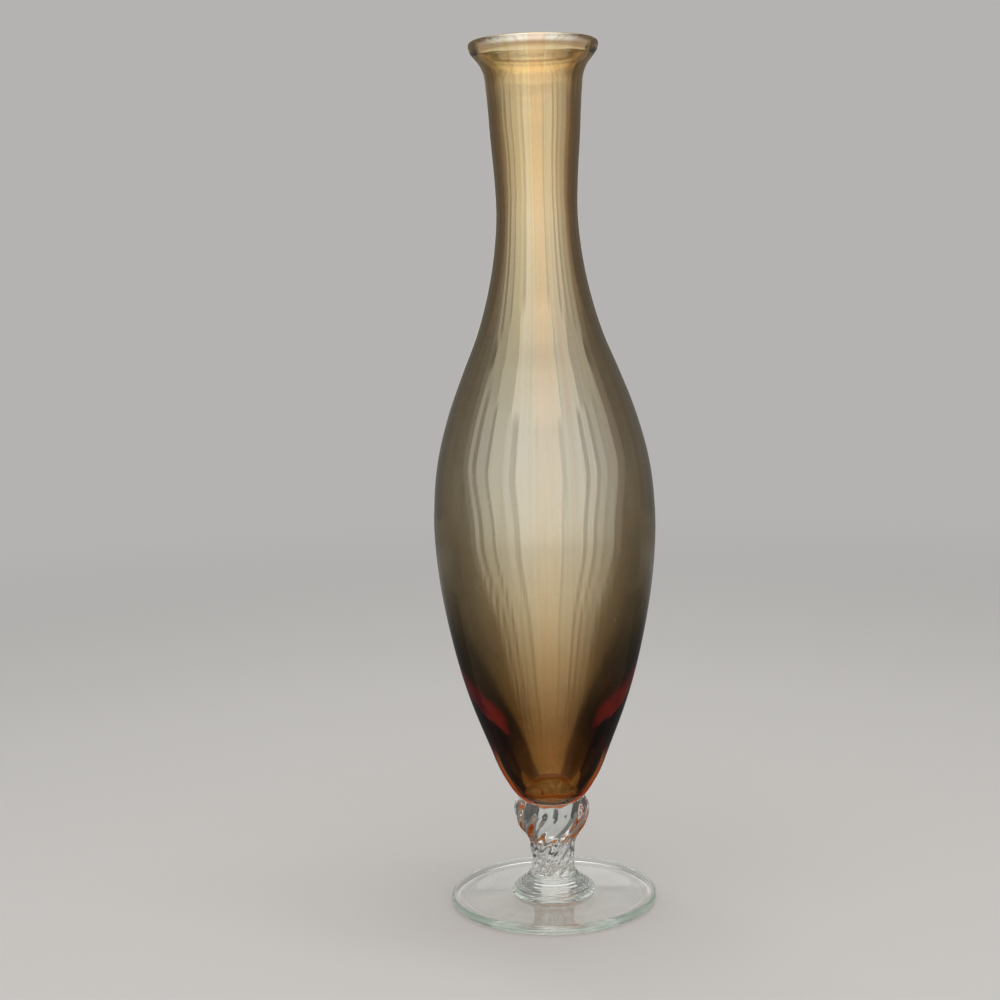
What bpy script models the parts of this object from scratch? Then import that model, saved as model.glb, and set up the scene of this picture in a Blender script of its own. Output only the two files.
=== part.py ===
"""Blown glass vase on a clear twisted stem.

A lustred amber bulb with a long neck and a flared mouth sits in the cup of a clear ribbed stem. A ringed
collar joins the stem to a thin clear foot. Metres, +Z up, origin at the middle of the foot's underside.
"""

import math

import bmesh
import bpy
from mathutils import Vector
from mathutils.geometry import interpolate_bezier

# Joints: the room left between two glass pieces
JOINT_GAP = 0.0003

# Foot: a thin disc with a rounded rim, slightly hollow underneath
FOOT_RADIUS = 0.05625
FOOT_RIM_RADIUS = 0.00255
FOOT_PLATE_THICKNESS = 0.0036
FOOT_CENTRE_THICKNESS = 0.0050
FOOT_HOLLOW_RADIUS = 0.0400
FOOT_HOLLOW_DEPTH = 0.0009
FOOT_SEAT_MARGIN = 0.0005

# Collar: a low flare of wound glass between foot and stem
COLLAR_RADIUS = 0.0221
COLLAR_HEIGHT = 0.0109
COLLAR_LEDGE = 0.0004
COLLAR_RING_DEPTH = 0.00035
COLLAR_RING_COUNT = 6

# Stem: a twisted ribbed gather that opens into a cup
STEM_HEIGHT = 0.0415
STEM_WAIST_RADIUS = 0.0117
STEM_CUP_WALL = 0.0033
STEM_SEAT_DEPTH = 0.0075
STEM_RIB_DEPTH = 0.0011
STEM_RIB_COUNT = 12
STEM_TURN_DEGREES = 110.0
STEM_TURN_POWER = 1.7

# Body: the bulb, its neck and its flared mouth, blown as one piece
BULB_BASE_THICKNESS = 0.0095
BULB_BELLY_LIFT = 0.1595
BULB_BELLY_RADIUS = 0.0591
SHOULDER_HEIGHT = 0.1640
NECK_RADIUS = 0.0214
NECK_HEIGHT = 0.0620
NECK_TOP_RADIUS = 0.0251
MOUTH_HEIGHT = 0.0240
MOUTH_RADIUS = 0.0339
LIP_RADIUS = 0.00195
BODY_WALL = 0.0028

# Outlines: each row is a share of the way up, or in, and a share of the way out
FOOT_TOP_SHARES = ((0.0, 0.0), (0.28, 0.38), (0.6, 0.78), (0.88, 1.0), (1.0, 0.95))
COLLAR_BASE_SHARES = ((0.0, 0.77), (0.07, 0.93), (0.2, 1.0))
COLLAR_FLARE_SHARES = ((0.2, 1.0), (0.3, 0.88), (0.44, 0.67), (0.615, 0.436), (0.853, 0.085), (1.0, 0.0))
STEM_SHARES = (
    (0.0, 0.7),
    (0.024, 0.784),
    (0.084, 0.932),
    (0.181, 1.0),
    (0.289, 0.898),
    (0.41, 0.648),
    (0.506, 0.33),
    (0.578, 0.136),
    (0.675, 0.057),
    (0.831, 0.0),
    (0.916, 0.011),
    (1.0, 0.068),
)
BULB_SHARES = (
    (0.0, 0.0),
    (0.0094, 0.122),
    (0.05, 0.293),
    (0.122, 0.43),
    (0.24, 0.564),
    (0.43, 0.751),
    (0.624, 0.883),
    (0.812, 0.968),
    (1.0, 1.0),
)
SHOULDER_SHARES = (
    (0.183, 0.938),
    (0.366, 0.731),
    (0.49, 0.527),
    (0.61, 0.314),
    (0.73, 0.16),
    (0.86, 0.05),
    (1.0, 0.0),
)
NECK_SHARES = ((0.226, 0.12), (0.613, 0.585), (1.0, 1.0))
MOUTH_SHARES = ((0.3, 0.09), (0.5, 0.28), (0.694, 0.645), (0.862, 0.93), (1.0, 1.0))
BULB_INSIDE_SHARES = (
    (0.0, 0.0),
    (0.0133, 0.11),
    (0.06, 0.24),
    (0.2, 0.457),
    (0.4, 0.713),
    (0.6, 0.878),
    (0.8, 0.966),
)
LIP_START_SHARE = 0.74
RIM_BLEND_SHARE = 1.6
RIB_FADE_SHARE = 0.16

# Fineness of the surfaces
ROUND_SEGMENTS = 40
POINTS_ON_A_RIB = 5
OUTLINE_STEPS = 2
STEM_RINGS = 20
ROUND_STEPS = 6
HOLLOW_STEPS = 3
SHARP_ANGLE_DEGREES = 40.0


def smooth_outline(knots, steps):
    """Return points on a smooth outline through the knots, with the given number of chords in each span."""
    knots = [Vector(knot) for knot in knots]
    tangents = [None] * len(knots)
    for index in range(1, len(knots) - 1):
        before = knots[index] - knots[index - 1]
        after = knots[index + 1] - knots[index]
        tangents[index] = (before.normalized() * after.length + after.normalized() * before.length).normalized()
    first_chord = (knots[1] - knots[0]).normalized()
    last_chord = (knots[-1] - knots[-2]).normalized()
    tangents[0] = 2 * tangents[1].dot(first_chord) * first_chord - tangents[1]
    tangents[-1] = 2 * tangents[-2].dot(last_chord) * last_chord - tangents[-2]
    if knots[0].x == 0:
        tangents[0] = Vector((1, 0))
    outline = []
    for index in range(len(knots) - 1):
        reach = (knots[index + 1] - knots[index]).length / 3
        leave = knots[index] + tangents[index] * reach
        arrive = knots[index + 1] - tangents[index + 1] * reach
        outline += interpolate_bezier(knots[index], leave, arrive, knots[index + 1], steps + 1)[:-1]
    return outline + [knots[-1]]


def offset_outline(outline, distance):
    """Return the outline moved to its right by the distance; it starts on or beside the axis."""
    moved = []
    for index, point in enumerate(outline):
        ahead = outline[min(index + 1, len(outline) - 1)]
        behind = outline[max(index - 1, 0)]
        along = (ahead - behind).normalized()
        if point.x == 0:
            along = Vector((1, 0))
        moved.append(point + Vector((along.y, -along.x)) * distance)
    return moved


def even_points(outline, count):
    """Return points spread evenly along an outline, with both of its ends."""
    lengths = [(after - before).length for before, after in zip(outline, outline[1:])]
    points = []
    for index in range(count):
        left = sum(lengths) * index / count
        span = 0
        while left > lengths[span]:
            left -= lengths[span]
            span += 1
        points.append(outline[span].lerp(outline[span + 1], left / lengths[span]))
    return points + [outline[-1]]


def radius_at(outline, height):
    """Return the radius of a rising outline at a height."""
    for before, after in zip(outline, outline[1:]):
        if before.y <= height <= after.y:
            return before.lerp(after, (height - before.y) / (after.y - before.y)).x
    return outline[-1].x


def ring(radius, height, segments=ROUND_SEGMENTS):
    """Return one ring of points about the axis, or a single point on it."""
    if radius == 0:
        return [(0, 0, height)]
    angles = [math.tau * index / segments for index in range(segments)]
    return [(radius * math.cos(angle), radius * math.sin(angle), height) for angle in angles]


def closed_object(name, rings, material):
    """Join rings of points, which run up the outside from the axis and back to it, into one closed object."""
    shape = bmesh.new()
    loops = [[shape.verts.new(point) for point in points] for points in rings]
    for lower, upper in zip(loops, loops[1:]):
        for index in range(max(len(lower), len(upper))):
            following = index + 1
            corners = (
                lower[index % len(lower)],
                lower[following % len(lower)],
                upper[following % len(upper)],
                upper[index % len(upper)],
            )
            shape.faces.new(list(dict.fromkeys(corners)))
    mesh = bpy.data.meshes.new(name)
    shape.to_mesh(mesh)
    shape.free()
    mesh.shade_smooth()
    mesh.set_sharp_from_angle(angle=math.radians(SHARP_ANGLE_DEGREES))
    mesh.materials.append(material)
    piece = bpy.data.objects.new(name, mesh)
    bpy.context.collection.objects.link(piece)
    return piece


def glass(name, colour, roughness, metallic):
    """Return a see-through glass, metallic where it carries a lustre."""
    material = bpy.data.materials.new(name)
    material.use_nodes = True
    shader = material.node_tree.nodes["Principled BSDF"]
    shader.inputs["Base Color"].default_value = (*colour, 1)
    shader.inputs["Roughness"].default_value = roughness
    shader.inputs["Metallic"].default_value = metallic
    shader.inputs["Transmission Weight"].default_value = 1
    return material


def foot_outline():
    """Outline of the foot: hollow underside, resting ring, rounded rim, then the top to the collar's seat."""
    rim_middle = FOOT_RADIUS - FOOT_RIM_RADIUS
    outline = []
    for index in range(HOLLOW_STEPS + 1):
        share = index / HOLLOW_STEPS
        outline.append(Vector((FOOT_HOLLOW_RADIUS * share, FOOT_HOLLOW_DEPTH * (1 - share**2))))
    for index in range(ROUND_STEPS + 1):
        turn = math.pi * index / ROUND_STEPS
        across = FOOT_RIM_RADIUS * math.sin(turn)
        up = FOOT_RIM_RADIUS * (1 - math.cos(turn))
        outline.append(Vector((rim_middle + across, up)))
    seat_edge = COLLAR_RADIUS + FOOT_SEAT_MARGIN
    plate_edge = rim_middle - RIM_BLEND_SHARE * FOOT_RIM_RADIUS
    drop = FOOT_CENTRE_THICKNESS - FOOT_PLATE_THICKNESS
    for out_share, drop_share in reversed(FOOT_TOP_SHARES):
        radius = seat_edge + (plate_edge - seat_edge) * out_share
        outline.append(Vector((radius, FOOT_CENTRE_THICKNESS - drop * drop_share)))
    return outline + [Vector((0, FOOT_CENTRE_THICKNESS))]


def collar_outline(top_radius):
    """Outline of the collar: flat base, rounded edge, flare with wound rings, then the flat top."""
    spread = COLLAR_RADIUS - top_radius

    def points(shares):
        return [(top_radius + spread * out, COLLAR_HEIGHT * up) for up, out in shares]

    edge = smooth_outline(points(COLLAR_BASE_SHARES), OUTLINE_STEPS)
    flare = smooth_outline(points(COLLAR_FLARE_SHARES), OUTLINE_STEPS)
    crests = even_points(flare, 2 * COLLAR_RING_COUNT)
    troughs = offset_outline(crests, -COLLAR_RING_DEPTH)
    ringed = [troughs[index] if index % 2 else crest for index, crest in enumerate(crests)]
    return [Vector((0, 0))] + edge + ringed[1:] + [Vector((0, COLLAR_HEIGHT))]


def body_outline():
    """Return the bulb's outside from its bottom to the lip's widest point."""
    lip_height = MOUTH_HEIGHT - LIP_RADIUS
    neck_lift = BULB_BELLY_LIFT + SHOULDER_HEIGHT
    mouth_lift = neck_lift + NECK_HEIGHT
    knots = [(BULB_BELLY_RADIUS * out, BULB_BELLY_LIFT * up) for up, out in BULB_SHARES]
    for up, out in SHOULDER_SHARES:
        radius = NECK_RADIUS + (BULB_BELLY_RADIUS - NECK_RADIUS) * out
        knots.append((radius, BULB_BELLY_LIFT + SHOULDER_HEIGHT * up))
    for up, out in NECK_SHARES:
        radius = NECK_RADIUS + (NECK_TOP_RADIUS - NECK_RADIUS) * out
        knots.append((radius, neck_lift + NECK_HEIGHT * up))
    for up, out in MOUTH_SHARES:
        radius = NECK_TOP_RADIUS + (MOUTH_RADIUS - NECK_TOP_RADIUS) * out
        knots.append((radius, mouth_lift + lip_height * up))
    return smooth_outline(knots, OUTLINE_STEPS)


def lip_points():
    """Return the rounded lip from its outer side over the top to the inside."""
    middle_radius = MOUTH_RADIUS - LIP_RADIUS
    middle_height = BULB_BELLY_LIFT + SHOULDER_HEIGHT + NECK_HEIGHT + MOUTH_HEIGHT - LIP_RADIUS
    points = []
    for index in range(1, ROUND_STEPS + 1):
        turn = math.pi * index / ROUND_STEPS
        across = LIP_RADIUS * math.cos(turn)
        up = LIP_RADIUS * math.sin(turn)
        points.append(Vector((middle_radius + across, middle_height + up)))
    return points


def inside_outline(outside):
    """Return the inside of the bulb, from under the lip to the middle of the thick base, with a point a knot."""
    belly = (len(BULB_SHARES) - 1) * OUTLINE_STEPS
    mouth_lift = BULB_BELLY_LIFT + SHOULDER_HEIGHT + NECK_HEIGHT
    lip_start = mouth_lift + (MOUTH_HEIGHT - LIP_RADIUS) * LIP_START_SHARE
    below_lip = [point for point in outside if point.y < lip_start]
    upper = offset_outline(outside, -BODY_WALL)[belly : len(below_lip)]
    inner_radius = BULB_BELLY_RADIUS - BODY_WALL
    inner_lift = BULB_BELLY_LIFT - BULB_BASE_THICKNESS
    knots = [(inner_radius * out, BULB_BASE_THICKNESS + inner_lift * up) for up, out in BULB_INSIDE_SHARES]
    lower = smooth_outline(knots + [upper[0]], OUTLINE_STEPS)
    return list(reversed(lower[:-1] + upper[::OUTLINE_STEPS]))


def stem_rings(outside, seat_lift, cup_radius):
    """Return the stem's rings: the flat base, the twisted ribs up to the cup's edge, then the cup's recess."""
    segments = STEM_RIB_COUNT * POINTS_ON_A_RIB
    recess = [Vector((point.x, point.y + seat_lift)) for point in offset_outline(outside, JOINT_GAP)]
    below_edge = [point for point in recess if point.y < STEM_HEIGHT]
    below_edge.append(Vector((radius_at(recess, STEM_HEIGHT), STEM_HEIGHT)))
    rings = [ring(point.x, point.y, segments) for point in below_edge]

    spread = cup_radius - STEM_WAIST_RADIUS
    knots = [(STEM_WAIST_RADIUS + spread * out, STEM_HEIGHT * (1 - down)) for down, out in STEM_SHARES]
    for point in even_points(smooth_outline(knots, OUTLINE_STEPS), STEM_RINGS):
        down = 1 - point.y / STEM_HEIGHT
        fade = min(down / RIB_FADE_SHARE, 1)
        turn = math.radians(STEM_TURN_DEGREES) * down**STEM_TURN_POWER
        points = []
        for index in range(segments):
            angle = math.tau * index / segments
            dip = STEM_RIB_DEPTH * fade * (1 - math.cos(STEM_RIB_COUNT * angle)) / 2
            radius = point.x - dip
            points.append((radius * math.cos(angle - turn), radius * math.sin(angle - turn), point.y))
        rings.append(points)
    rings.append(ring(0, 0))
    return rings[::-1]


def stem_end_radius(cup_radius):
    """Return the stem's radius where it meets the collar."""
    return STEM_WAIST_RADIUS + (cup_radius - STEM_WAIST_RADIUS) * STEM_SHARES[-1][1]


def clear_scene():
    """Remove what the scene holds."""
    for item in list(bpy.data.objects):
        bpy.data.objects.remove(item, do_unlink=True)


def build_vase():
    """Build the four glass pieces, each on top of the one below, under one empty."""
    outside = body_outline()
    seat_lift = STEM_HEIGHT - STEM_SEAT_DEPTH
    seat_outline = offset_outline(outside, JOINT_GAP)
    cup_radius = radius_at(seat_outline, STEM_SEAT_DEPTH) + STEM_CUP_WALL
    collar_top_radius = stem_end_radius(cup_radius) + COLLAR_LEDGE

    amber = glass("lustred_amber_glass", (0.52, 0.36, 0.16), 0.03, 0.35)
    stem_glass = glass("clear_stem_glass", (0.94, 0.96, 0.93), 0.02, 0.0)
    collar_glass = glass("clear_collar_glass", (0.93, 0.95, 0.93), 0.03, 0.0)
    foot_glass = glass("clear_foot_glass", (0.93, 0.97, 0.94), 0.02, 0.0)

    body_points = outside + lip_points() + inside_outline(outside)
    body = closed_object("vase_body", [ring(point.x, point.y) for point in body_points], amber)
    stem = closed_object("twisted_stem", stem_rings(outside, seat_lift, cup_radius), stem_glass)
    collar_points = collar_outline(collar_top_radius)
    collar = closed_object("stem_collar", [ring(point.x, point.y) for point in collar_points], collar_glass)
    foot = closed_object("foot", [ring(point.x, point.y) for point in foot_outline()], foot_glass)

    collar.location.z = FOOT_CENTRE_THICKNESS + JOINT_GAP
    stem.location.z = collar.location.z + COLLAR_HEIGHT + JOINT_GAP
    body.location.z = stem.location.z + seat_lift

    vase = bpy.data.objects.new("vase", None)
    bpy.context.collection.objects.link(vase)
    for piece in (body, stem, collar, foot):
        piece.parent = vase


clear_scene()
build_vase()
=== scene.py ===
import math
import random

import bpy
from mathutils import Matrix, Vector
from mathutils.geometry import interpolate_bezier


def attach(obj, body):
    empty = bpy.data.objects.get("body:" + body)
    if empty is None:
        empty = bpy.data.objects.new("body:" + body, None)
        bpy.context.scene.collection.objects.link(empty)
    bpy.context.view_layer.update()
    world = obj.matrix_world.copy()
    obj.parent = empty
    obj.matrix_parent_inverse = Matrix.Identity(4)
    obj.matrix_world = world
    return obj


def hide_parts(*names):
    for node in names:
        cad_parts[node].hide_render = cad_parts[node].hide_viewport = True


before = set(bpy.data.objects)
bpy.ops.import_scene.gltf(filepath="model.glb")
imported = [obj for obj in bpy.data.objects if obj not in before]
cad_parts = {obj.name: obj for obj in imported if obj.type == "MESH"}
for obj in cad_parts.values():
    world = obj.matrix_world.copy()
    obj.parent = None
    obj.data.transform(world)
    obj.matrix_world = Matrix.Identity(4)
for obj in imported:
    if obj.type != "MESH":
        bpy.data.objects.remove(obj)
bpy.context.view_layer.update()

# Joints between the glass pieces
JOINT_GAP = 0.0003

# Foot: a thin disc with a rounded rim, slightly hollow underneath
FOOT_RADIUS = 0.05625
FOOT_RIM_RADIUS = 0.00255
FOOT_PLATE_THICKNESS = 0.0036
FOOT_CENTRE_THICKNESS = 0.0050
FOOT_HOLLOW_RADIUS = 0.0400
FOOT_HOLLOW_DEPTH = 0.0009
FOOT_SEAT_MARGIN = 0.0005
FOOT_TOP_SHARES = ((0.0, 0.0), (0.28, 0.38), (0.6, 0.78), (0.88, 1.0), (1.0, 0.95))
RIM_BLEND_SHARE = 1.6

# Collar: a low flare of wound glass between foot and stem
COLLAR_RADIUS = 0.0221
COLLAR_HEIGHT = 0.0109
COLLAR_LEDGE = 0.0004
COLLAR_RING_DEPTH = 0.00035
COLLAR_RING_COUNT = 6
COLLAR_BASE_SHARES = ((0.0, 0.77), (0.07, 0.93), (0.2, 1.0))
COLLAR_FLARE_SHARES = ((0.2, 1.0), (0.3, 0.88), (0.44, 0.67), (0.615, 0.436), (0.853, 0.085), (1.0, 0.0))

# Stem: a twisted ribbed gather that opens into a cup
STEM_HEIGHT = 0.0415
STEM_WAIST_RADIUS = 0.0117
STEM_CUP_WALL = 0.0033
STEM_SEAT_DEPTH = 0.0075
STEM_RIB_DEPTH = 0.0011
STEM_RIB_COUNT = 12
STEM_TURN_DEGREES = 110.0
STEM_TURN_POWER = 1.7
STEM_SHARES = (
    (0.0, 0.7), (0.024, 0.784), (0.084, 0.932), (0.181, 1.0), (0.289, 0.898), (0.41, 0.648),
    (0.506, 0.33), (0.578, 0.136), (0.675, 0.057), (0.831, 0.0), (0.916, 0.011), (1.0, 0.068),
)
RIB_FADE_SHARE = 0.16

# Body: the bulb, its neck and its flared mouth, blown as one piece
BULB_BASE_THICKNESS = 0.0095
BULB_BELLY_LIFT = 0.1595
BULB_BELLY_RADIUS = 0.0591
SHOULDER_HEIGHT = 0.1640
NECK_RADIUS = 0.0214
NECK_HEIGHT = 0.0620
NECK_TOP_RADIUS = 0.0251
MOUTH_HEIGHT = 0.0240
MOUTH_RADIUS = 0.0339
LIP_RADIUS = 0.00195
BODY_WALL = 0.0028
BULB_SHARES = (
    (0.0, 0.0), (0.0094, 0.122), (0.05, 0.293), (0.122, 0.43), (0.24, 0.564), (0.43, 0.751),
    (0.624, 0.883), (0.812, 0.968), (1.0, 1.0),
)
SHOULDER_SHARES = (
    (0.183, 0.938), (0.366, 0.731), (0.49, 0.527), (0.61, 0.314), (0.73, 0.16), (0.86, 0.05), (1.0, 0.0),
)
NECK_SHARES = ((0.226, 0.12), (0.613, 0.585), (1.0, 1.0))
MOUTH_SHARES = ((0.3, 0.09), (0.5, 0.28), (0.694, 0.645), (0.862, 0.93), (1.0, 1.0))
BULB_INSIDE_SHARES = (
    (0.0, 0.0), (0.0133, 0.11), (0.06, 0.24), (0.2, 0.457), (0.4, 0.713), (0.6, 0.878), (0.8, 0.966),
)
LIP_START_SHARE = 0.74
NECK_LIFT = BULB_BELLY_LIFT + SHOULDER_HEIGHT
MOUTH_LIFT = NECK_LIFT + NECK_HEIGHT

# Fineness of the glass surfaces
ROUND_SEGMENTS = 192
POINTS_ON_A_RIB = 20
OUTLINE_STEPS = 8
STEM_RINGS = 120
COLLAR_RINGS = 96
ROUND_STEPS = 16
HOLLOW_STEPS = 8
SHARP_ANGLE_DEGREES = 40

# Tooling ridge inside the bulb's bottom, and the seeds (small bubbles) in its wall
RIDGE_HEIGHT = 0.0145
RIDGE_WIDTH = 0.0020
RIDGE_PROUD = 0.0007
RIDGE_STEPS = 10
SEED_COUNT = 140
SEED_DRAW = 7
SEED_LOWEST = 0.004
SEED_HIGHEST = 0.300
SEED_CROWDING = 2.2
SEED_HALF_WIDTHS = (0.00014, 0.00034)
SEED_STRETCH = (1.0, 2.4)
SEED_ROOM = 4.0
SEED_COVER = 1.3
SEED_ROWS = 7
SEED_COLUMNS = 10
SEED_BAND = -1

# Where the pieces stand
COLLAR_LIFT = FOOT_CENTRE_THICKNESS + JOINT_GAP
STEM_LIFT = COLLAR_LIFT + COLLAR_HEIGHT + JOINT_GAP
BODY_LIFT = STEM_LIFT + STEM_HEIGHT - STEM_SEAT_DEPTH
VASE_HEIGHT = BODY_LIFT + MOUTH_LIFT + MOUTH_HEIGHT

# Camera
CAMERA_PLACE = (-0.02354, -0.9011, 0.3365)
CAMERA_PITCH_DEGREES = 7.27
CAMERA_ROLL_DEGREES = -1.62
CAMERA_LENS = 61.2
CAMERA_SENSOR = 36.0

# Amber by share of the body's height: seen face on, and seen edge on through a longer way of glass. The
# edge-on colours are partly that deeper tint and partly painted shade that darkens the sides; their top rows
# are a painted silver highlight on the lip.
AMBER_FACING = (
    (0.0, (0.66, 0.38, 0.15)),
    (0.03, (0.58, 0.33, 0.12)),
    (0.055, (0.38, 0.20, 0.05)),
    (0.08, (0.33, 0.17, 0.03)),
    (0.10, (0.33, 0.165, 0.03)),
    (0.13, (0.41, 0.225, 0.06)),
    (0.155, (0.53, 0.335, 0.12)),
    (0.187, (0.57, 0.385, 0.17)),
    (0.224, (0.63, 0.46, 0.23)),
    (0.29, (0.77, 0.66, 0.42)),
    (0.40, (0.77, 0.74, 0.61)),
    (0.50, (0.78, 0.76, 0.67)),
    (0.64, (0.79, 0.70, 0.52)),
    (0.78, (0.90, 0.78, 0.53)),
    (0.86, (0.86, 0.72, 0.44)),
    (0.93, (0.80, 0.67, 0.42)),
    (0.96, (0.90, 0.78, 0.52)),
    (0.984, (1.0, 0.88, 0.60)),
    # Painted shade: a dark brown band on the lip's underside; above it a painted silver highlight on the
    # lip's top.
    (0.986, (0.50, 0.36, 0.20)),
    (0.990, (0.50, 0.36, 0.20)),
    (0.992, (1.0, 0.97, 0.92)),
    (1.0, (1.0, 1.0, 0.98)),
)
AMBER_EDGE_ON = (
    (0.06, (0.030, 0.014, 0.005)),
    (0.09, (0.012, 0.005, 0.002)),
    (0.12, (0.040, 0.020, 0.008)),
    (0.145, (0.11, 0.08, 0.04)),
    (0.175, (0.18, 0.14, 0.07)),
    (0.20, (0.19, 0.165, 0.09)),
    (0.235, (0.26, 0.24, 0.15)),
    (0.30, (0.32, 0.30, 0.21)),
    (0.45, (0.52, 0.48, 0.37)),
    (0.65, (0.50, 0.45, 0.32)),
    (0.80, (0.50, 0.42, 0.26)),
    (0.94, (0.60, 0.50, 0.32)),
    (0.988, (0.74, 0.62, 0.40)),
    (1.0, (0.96, 0.94, 0.88)),
)

# How far a surface turns aside, by share of the height, where the edge-on colour begins and where it is full
EDGE_BEGINS = ((0.0, 0.40), (0.04, 0.30), (0.08, 0.08), (0.12, 0.12), (0.15, 0.14), (0.19, 0.10))
EDGE_REACHES = (
    (0.0, 0.60), (0.04, 0.56), (0.08, 0.50), (0.12, 0.42), (0.15, 0.33), (0.19, 0.40), (0.34, 0.44),
    (1.0, 0.60),
)

# How far the bands of colour sink towards the sides, and how ragged their edges are
EDGE_LEAN = 0.018
BAND_RAGGED = 0.011
EDGE_RAGGED = 0.12
RAGGED_NOISE = {"stretch": 0.8, "scale": 60.0, "detail": 2.0}
NOISE_MIDDLE = 0.5
FRAYED_BELOW = (0.14, 0.30)
FRAYED_ABOVE_SHARE = 0.25

# Thick gathered glass at the bulb's bottom: its rim, given a painted orange highlight and glow, its far side,
# and a painted orange glow in curls in the stem's cup
GATHERED_BELOW = (0.05, 0.10)
RIM_STARTS = (0.64, 0.72)
RIM_ENDS = (0.86, 0.93)
RIM_PAINTED_TINT = (1.0, 0.66, 0.34)
AMBER_FAR_SIDE = (1.0, 0.80, 0.50)
RIM_PAINTED_GLOW = (1.0, 0.30, 0.06)
RIM_GLOW_SHARE = 0.7
SEAT_PAINTED_GLOW = (1.0, 0.46, 0.09)
SEAT_GLOW_SHARE = 0.5
SEAT_GLOW_EDGE = (-0.05, 0.08)
SEAT_GLOW_LEVELS = (0.2, 1.0)

# Crimson bands beside the bulb's bottom, with a painted crimson glow in patches over them
CRIMSON = (0.90, 0.06, 0.09)
CRIMSON_LEAN = 0.034
CRIMSON_FOOT = (0.093, 0.100)
CRIMSON_HEAD = (0.122, 0.142)
CRIMSON_ASIDE = (0.31, 0.42)
CRIMSON_PAINTED_GLOW = (0.95, 0.14, 0.07)
CRIMSON_GLOW_SHARE = 0.08
PATCH_EDGE = (-0.06, 0.12)
PATCH_LEVELS = (0.3, 2.4)

# Painted golden glint in the tooling ridge and the seeds
PAINTED_GLINT_COLOUR = (1.0, 0.62, 0.16)
RIDGE_SHARE = 0.8

# Lustre on the outer skin by share of the body's height, its hues, and where it starts inside the mouth
LUSTRE_METALLIC = 0.55
LUSTRE = (
    (0.0, 0.30), (0.10, 0.40), (0.20, 1.0), (0.92, 1.0), (0.945, 0.34), (0.975, 0.26), (0.985, 0.26),
    (0.994, 0.9),
)
MOUTH_STARTS = (0.935, 0.965)
BANDS_GROW = (0.42, 0.68)
BANDS_LOW_SHARE = 0.45
AMBER_CORDS = (
    (0.34, (0.95, 0.94, 0.92)),
    (0.42, (1.0, 0.99, 0.98)),
    (0.52, (1.0, 1.0, 1.0)),
    (0.57, (0.98, 0.965, 0.95)),
    (0.60, (1.0, 0.995, 0.99)),
    (0.68, (0.965, 0.96, 0.945)),
)
LUSTRE_BANDS = (
    (0.36, (0.97, 0.89, 0.82)),
    (0.41, (0.98, 0.90, 0.83)),
    (0.425, (1.0, 1.0, 0.98)),
    (0.49, (1.0, 1.0, 1.0)),
    (0.50, (0.93, 0.95, 0.84)),
    (0.535, (0.94, 0.95, 0.85)),
    (0.545, (1.0, 0.99, 0.97)),
    (0.60, (1.0, 0.98, 0.95)),
    (0.61, (0.96, 0.87, 0.78)),
)

# Ripple, wear and depth of the glasses
SMUDGE_EDGE = (0.52, 0.72)
SPECK_EDGE = (0.80, 0.84)
AMBER_RIPPLE = {"Wave_Height": 0.00014, "Cord_Height": 0.000004}
AMBER_WEAR = {"Smudged": 0.02, "Dusty": 0.15}
AMBER_DEPTH_COLOUR = (0.85, 0.58, 0.10)
AMBER_DENSITY = 60.0
AMBER_LAMP_TINT = (0.68, 0.62, 0.52)
CLEAR_CORDS = ((0.3, (0.90, 0.93, 0.90)), (0.6, (1.0, 1.0, 1.0)))
CLEAR_WAVE_SCALE = 60.0
CLEAR_CORD_SHARE = 0.25
CLEAR_WEAR = {"Smudged": 0.03, "Dusty": 0.3}

# Clear glasses: the colour and density of their depth, and the height of their waves
STEM_GLASS = ((0.93, 0.98, 0.95), 12.0, 0.00006)
COLLAR_GLASS = ((0.93, 0.98, 0.95), 6.0, 0.00004)
FOOT_GLASS = ((0.905, 0.97, 0.925), 16.0, 0.00003)

# Studio: floor and backdrop
PALE = (0.46, 0.45, 0.44)
BACKDROP_LEVEL = PALE[0]
FLOOR_COLOUR = (0.52, 0.51, 0.50)
FLOOR_RADIUS = 6.0
FLOOR_SIDES = 96
FLOOR_LEVEL = -0.0002
FLOOR_FADE = (0.25, 1.6)
ROOM_FILL = 0.30

# Front sweep of light; its panels stand side by side, each row the azimuth where a panel ends and its level
LOW_PANELS = (
    (-98, 0.16), (-90, 0.24), (-84, 0.52), (-78, 0.28), (-66, 0.56), (-62, 0.38), (-46, 0.72),
    (-38, 0.82), (-31, 0.66), (-6, 0.97), (18, 1.0), (22, 0.76), (44, 0.86), (49, 0.52), (57, 0.76),
    (62, 0.44), (70, 0.58), (76, 0.44), (86, 0.48), (98, 0.24), (112, 0.14),
)
HIGH_PANELS = ((-86, 0.0), (-66, 0.46), (-42, 0.64), (-12, 0.92), (24, 1.0), (52, 0.78), (84, 0.50))
PANEL_RADIANCE = 1.25
PANEL_EDGE = 0.5
PANEL_DARKEST = 0.14
PANEL_TOP = 1.15
PANEL_GAP = 0.02
PANEL_NARROWING = ((-62, 0.45), (-35, 0.56), (-8, 0.84), (14, 1.0))
BELLY_HEIGHT = 0.2
SWEEP_START = 0.065
SWEEP_DISTANCE = 1.7
SWEEP_BEND = 0.5
SWEEP_TOP = 2.0
SWEEP_LIFT = 0.008
SWEEP_OVERHANG = ((1.6, 2.15), (1.4, 2.25), (1.1, 2.32), (0.8, 2.35))
SWEEP_ROWS = 12
SWEEP_CROWDING = 1.6
SWEEP_BEND_ROWS = 8
SWEEP_UPPER_ROWS = 6
SWEEP_FLOOR_LEVELS = ((0.065, 0.28), (0.16, 0.50), (0.26, 0.60), (0.45, 0.68), (0.8, 0.74), (1.7, 0.92))
SWEEP_TOP_LEVELS = ((1.5, 1.0), (2.35, 0.7))
SHEET_TINT = (1.0, 0.985, 0.96)
SOFTBOX_TINT = (1.0, 0.98, 0.95)

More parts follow.
